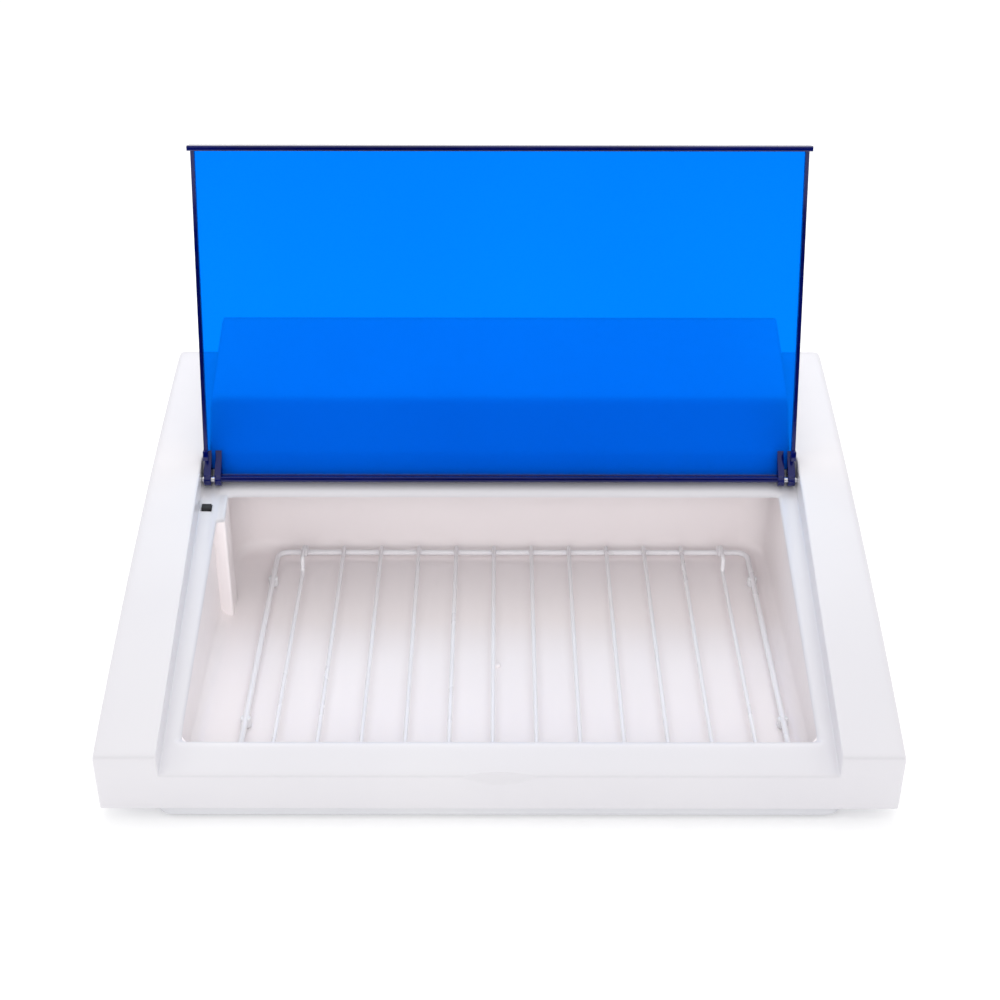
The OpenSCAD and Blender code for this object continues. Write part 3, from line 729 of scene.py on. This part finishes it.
# ---------------------------------------------------------------- the tub
def tub_outline(half, y0, y1, rf, rr, n=7):
    """A ring of (x, y): a rectangle with rounded corners, from the front right round to the left."""
    out = []
    for cx, cy, r, a0 in ((half - rf, y0 + rf, rf, -90), (half - rr, y1 - rr, rr, 0),
                          (-half + rr, y1 - rr, rr, 90), (-half + rf, y0 + rf, rf, 180)):
        for i in range(n + 1):
            a = math.radians(a0 + 90 * i / n)
            out.append((cx + r * math.cos(a), cy + r * math.sin(a)))
    return out


def build_tub():
    half, y0, y1, base, f = 148.4, 19.5, 218.0, 11.0, 6.0
    bm = bmesh.new()

    def top(y):
        return R(y) - WALL - 0.05 if y < 200 else 83.9

    rings = []
    floor = tub_outline(half - f - 9, y0 + f + 9, y1 - f - 11, 4, 6)
    rings.append([bm.verts.new(V(x, y, base)) for x, y in floor])
    for k in range(7):
        a = math.radians(90 * k / 6)
        inset = f * (1 - math.sin(a))
        rise = f * (1 - math.cos(a))
        pts = tub_outline(half - inset, y0 + inset, y1 - inset * 1.2,
                          max(6 - inset * 0.5, 1.5), max(14 - inset * 0.8, 2))
        rings.append([bm.verts.new(V(x, y, base + rise)) for x, y in pts])
    wall_pts = tub_outline(half, y0, y1, 6, 14)
    for t in (0.02, 0.3, 0.65, 0.97, 1.0):
        rings.append([bm.verts.new(V(x, y, base + f + (top(y) - base - f) * t)) for x, y in wall_pts])
    bridge(bm, rings)
    bm.faces.new(list(reversed(rings[0])))
    o = obj_from("tub_liner", bm, sharp=60)
    # The ring's faces look inwards, so the wall grows outwards
    bm = bmesh.new()
    bm.from_mesh(o.data)
    up = sum((f_.normal.z for f_ in bm.faces if abs(f_.calc_center_median().z - base * MM) < 1e-5), 0.0)
    if up < 0:
        bmesh.ops.reverse_faces(bm, faces=bm.faces)
    bm.to_mesh(o.data)
    bm.free()
    solid = o.modifiers.new("t", "SOLIDIFY")
    solid.thickness = 2.0 * MM
    solid.offset = -1
    solid.use_even_offset = True
    bake(o)
    # The upright cover of the lid switch, and the moulding pip
    bm = bmesh.new()
    r = 1.2
    pts = []
    for cx, cy, a0 in ((-142 - r, 151 + r, -90), (-142 - r, 168 - r, 0)):
        for i in range(6):
            a = math.radians(a0 + 90 * i / 5)
            pts.append((cx + r * math.cos(a), cy + r * math.sin(a)))
    pts += [(-149.4, 168), (-149.4, 151)]
    lower = [bm.verts.new(V(x, y, base - 0.6)) for x, y in pts]
    upper = [bm.verts.new(V(x, y, R(y) - WALL - 0.05)) for x, y in pts]
    bridge(bm, [lower, upper])
    bm.faces.new(list(reversed(lower)))
    bm.faces.new(upper)
    pip = [(0, -0.5), (2.3, -0.5), (2.25, 0.15), (2.0, 0.5), (1.9, 0.9), (1.6, 1.15), (0.8, 1.25), (0, 1.27)]
    lathe_into(bm, pip,
               Matrix.Translation(V(-1.5, 106.5, base)))
    boolean(o, obj_from("cover", bm), "UNION")
    # Notches for the lamp holders
    bm = bmesh.new()
    for s in (-1, 1):
        a, b = sorted((s * 140, s * 160))
        box_into(bm, (a, LAMP_Y - 10.9, 78 - 10.8), (b, LAMP_Y + 10.9, 140))
    boolean(o, obj_from("notches", bm, smooth=False), "DIFFERENCE")
    shade(o, 40)
    return o


give(build_tub(), "white_tub", "housing", "inner_tub")


# ---------------------------------------------------------------- CAD pieces with worked edges
def polish(node, material, body, width):
    """A copy of a CAD piece with merged flats, bevelled edges and its material."""
    src = frame["nodes"][node]
    o = bpy.data.objects.new(node + "_finished", src.data.copy())
    bpy.context.scene.collection.objects.link(o)
    bm = bmesh.new()
    bm.from_mesh(o.data)
    bmesh.ops.remove_doubles(bm, verts=bm.verts, dist=2e-6)
    bmesh.ops.dissolve_limit(bm, angle_limit=math.radians(1.0), verts=bm.verts, edges=bm.edges)
    bm.to_mesh(o.data)
    bm.free()
    if width:
        b = o.modifiers.new("b", "BEVEL")
        b.width = width * MM
        b.segments = 2
        b.limit_method = "ANGLE"
        b.angle_limit = math.radians(32)
        b.miter_outer = "MITER_ARC"
        b.use_clamp_overlap = True
        bake(o)
    shade(o, 40)
    return give(o, material, body, node)


BODY = {}
for name, members in frame["record"]["behaviour"]["bodies"].items():
    for n in members:
        BODY[n] = name

for node, material, width in (
    ("lid_panel", "blue_lid", 0.35), ("shell_posts", "white_housing", 0.2),
    ("base_pan", "white_base", 0.4), ("rubber_feet", "black_rubber", 0.3),
    ("case_screws", "screw_steel", 0.08), ("hinge_pins", "pin_steel", 0.2),
    ("switch_plunger", "black_plastic", 0.25), ("switch_body", "switch_plastic", 0.2),
    ("switch_screws", "screw_steel", 0.1), ("rocker_button", "rocker_plastic", 0.25),
    ("rocker_frame", "black_plastic", 0.2), ("cord_gland", "gland_plastic", 0.2),
    ("gland_nut", "gland_plastic", 0.2), ("lamp_glass", "lamp_glass", 0),
    ("lamp_caps", "cap_aluminium", 0.15), ("lamp_holders", "holder_plastic", 0.3),
    ("lamp_reflector", "reflector_aluminium", 0), ("ballast_case", "holder_plastic", 0.25),
    ("ballast_screws", "screw_steel", 0.08), ("terminal_block", "holder_plastic", 0.2),
    ("lamp_leads", "lead_white", 0), ("switch_leads", "lead_red", 0), ("mains_leads", "lead_blue", 0),
):
    polish(node, material, BODY[node], width)

# The lid's edges, lip, flanges and lugs get painted shade: an opaque dark navy through which nothing shows,
# standing in for the darkness of light's long path through the thick clear blue acrylic
lid = DONE["lid_panel_finished"]
lid.data.materials.append(MAT["blue_lid_edge_painted_shade"])
face_out = Vector((0, -math.cos(LEAN), math.sin(LEAN)))
flat = [f for f in lid.data.polygons if abs(f.normal.dot(face_out)) > 0.99]
panel = {}
for f in flat:
    level = round(f.center.dot(face_out) / MM)
    panel[level] = panel.get(level, 0) + f.area
sheet = sorted(panel, key=panel.get)[-2:]
for f in lid.data.polygons:
    if abs(f.normal.dot(face_out)) < 0.99 or round(f.center.dot(face_out) / MM) not in sheet:
        f.material_index = 1
    else:
        f.use_smooth = False


# ---------------------------------------------------------------- the rack
RACK_X, RACK_W, Y_A, Y_B = 7.3, 265.0, 29.0, 208.0
FRAME_R, WIRE_R, Z_FRAME, Z_WIRE, PITCH = 1.5, 1.1, 15.5, 18.0, 20.9


def wire_x(i):
    """Where the rack's wire number i lies, of 0 to 11."""
    return RACK_X + (i - 5.5) * PITCH


def weld_into(bm, centre, rx, ry, rz):
    m = Matrix.Translation(centre) @ Matrix.Diagonal((rx * MM, ry * MM, rz * MM, 1))
    bmesh.ops.create_icosphere(bm, subdivisions=2, radius=1, matrix=m)


bm = bmesh.new()
half = RACK_W / 2 - FRAME_R
BEND = 6
corner = []
y_front, y_rear = Y_A + FRAME_R + BEND, Y_B - FRAME_R - BEND
for cx, cy, a0 in ((half - BEND, y_front, -90), (half - BEND, y_rear, 0),
                   (-half + BEND, y_rear, 90), (-half + BEND, y_front, 180)):
    for i in range(9):
        a = math.radians(a0 + 90 * i / 8)
        corner.append(V(RACK_X + cx + BEND * math.cos(a), cy + BEND * math.sin(a), Z_FRAME))
dense = []
for a, b in zip(corner, corner[1:] + corner[:1]):
    steps = max(1, int((b - a).length / 0.03))
    dense += [a.lerp(b, k / steps) for k in range(steps)]
tube_into(bm, dense, FRAME_R * MM, n=18, closed=True)
for i in range(12):
    for y in (Y_A + FRAME_R, Y_B - FRAME_R):
        weld_into(bm, V(wire_x(i), y, Z_FRAME + 1.3), 1.45, 1.45, 0.85)
give(obj_from("rack_frame_wire", bm, sharp=60), "coated_wire", "rack", "rack_frame")

bm = bmesh.new()
for i in range(1, 11):
    ys = [Y_A + FRAME_R - 1.3 + (Y_B - Y_A - 2 * FRAME_R + 2.6) * k / 8 for k in range(9)]
    tube_into(bm, [V(wire_x(i), y, Z_WIRE) for y in ys], WIRE_R * MM, n=14, dome=0.9)
give(obj_from("rack_thin_wires", bm, sharp=60), "coated_wire", "rack", "rack_wires")

top_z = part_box("rack_loops")[1].z / MM - WIRE_R
bm = bmesh.new()
for i in (0, 11):
    x = wire_x(i)
    ends = (Y_A + FRAME_R - 1.3, Y_B - FRAME_R + 1.3)
    path = [(x, ends[0], Z_WIRE), (x, 60, Z_WIRE), (x, 120, Z_WIRE), (x, 184, Z_WIRE),
            (x, 184, top_z), (x, 198, top_z), (x, 198, Z_WIRE), (x, ends[1], Z_WIRE)]
    path = round_path([V(*p) for p in path], 4.6 * MM, 8)
    tube_into(bm, path, WIRE_R * MM, n=14, dome=0.9)
give(obj_from("rack_finger_loops", bm, sharp=60), "coated_wire", "rack", "rack_loops")
polish("rack_feet", "soft_cap", "rack", 0.3)


# ---------------------------------------------------------------- floor, light, camera
bm = bmesh.new()
bmesh.ops.create_grid(bm, x_segments=2, y_segments=2, size=4)
floor = obj_from("studio_floor", bm, smooth=False)
floor.location = (0, 0, -0.0002)
m, nt, p = nodes_of("studio_white")
grain = noise(nt, coords(nt), 6, 2)
nt.links.new(mix_colour(nt, grain, (0.93, 0.93, 0.93), (0.95, 0.95, 0.95)), p.inputs["Base Color"])
p.inputs["Roughness"].default_value = 0.9
p.inputs["Specular IOR Level"].default_value = 0.1
p.inputs["Emission Color"].default_value = (1, 1, 1, 1)
p.inputs["Emission Strength"].default_value = 0.2
floor.data.materials.append(m)

world = bpy.data.worlds.new("studio")
bpy.context.scene.world = world
world.use_nodes = True
world.node_tree.nodes["Background"].inputs[0].default_value = (1, 1, 1, 1)
world.node_tree.nodes["Background"].inputs[1].default_value = 0.89


def area(name, place, target, size, power, colour=(1, 1, 1), size_y=None):
    d = bpy.data.lights.new(name, "AREA")
    d.energy = power
    d.color = colour
    d.size = size
    if size_y:
        d.shape = "RECTANGLE"
        d.size_y = size_y
    o = bpy.data.objects.new(name, d)
    bpy.context.scene.collection.objects.link(o)
    o.location = place
    o.rotation_mode = "QUATERNION"
    o.rotation_quaternion = (Vector(target) - Vector(place)).to_track_quat("-Z", "Y")
    return o


area("top_box", (0.0, 0.0, 1.6), (0, 0, 0.05), 1.4, 1.6, size_y=1.2)
area("rear_box", (0.0, 0.42, 0.75), (0, 0.13, 0.1), 0.8, 1.8, size_y=0.3)
area("left_box", (-1.4, -0.6, 0.8), (0, 0, 0.08), 0.8, 1.2)
area("right_box", (1.4, -0.4, 0.9), (0, 0, 0.08), 0.7, 0.6)
fill = area("tub_fill", (0.0, -0.7, 0.35), (0, 0.06, 0.03), 0.5, 2.9, (1, 0.975, 0.98))
fill.visible_camera = False
fill.visible_glossy = False
lit = bpy.data.collections.new("lit_by_fill")
for o in DONE.values():
    if o.name.startswith(("tub", "rack")):
        lit.objects.link(o)
fill.light_linking.receiver_collection = lit

# The fill lights only the tub and the rack. The dark card in front is seen only in reflections,
# where it keeps the lid's colour deep.
bm = bmesh.new()
box_into(bm, (-2600, -2010, -300), (2600, -2000, 900))
card = obj_from("dark_card", bm, smooth=False)
m, nt, p = nodes_of("card_black")
shade_of_black = mix_colour(nt, noise(nt, coords(nt), 3), (0.004, 0.004, 0.005), (0.006, 0.006, 0.007))
nt.links.new(shade_of_black, p.inputs["Base Color"])
p.inputs["Roughness"].default_value = 1
p.inputs["Specular IOR Level"].default_value = 0
card.data.materials.append(m)
for ray in ("camera", "diffuse", "transmission", "shadow", "volume_scatter"):
    setattr(card, "visible_" + ray, False)

cam_data = bpy.data.cameras.new("camera")
cam = bpy.data.objects.new("camera", cam_data)
bpy.context.scene.collection.objects.link(cam)
cam_data.sensor_width = 36
cam_data.lens = 63.7
cam_data.clip_start, cam_data.clip_end = 0.01, 50
cam.location = V(-0.1, -625.2, 554.3)
cam.rotation_euler = (math.radians(90 - 31.24), math.radians(-0.06), math.radians(0.01))
bpy.context.scene.camera = cam

view = bpy.context.scene.view_settings
view.view_transform = "Standard"
view.look = "None"
view.exposure = 0.0
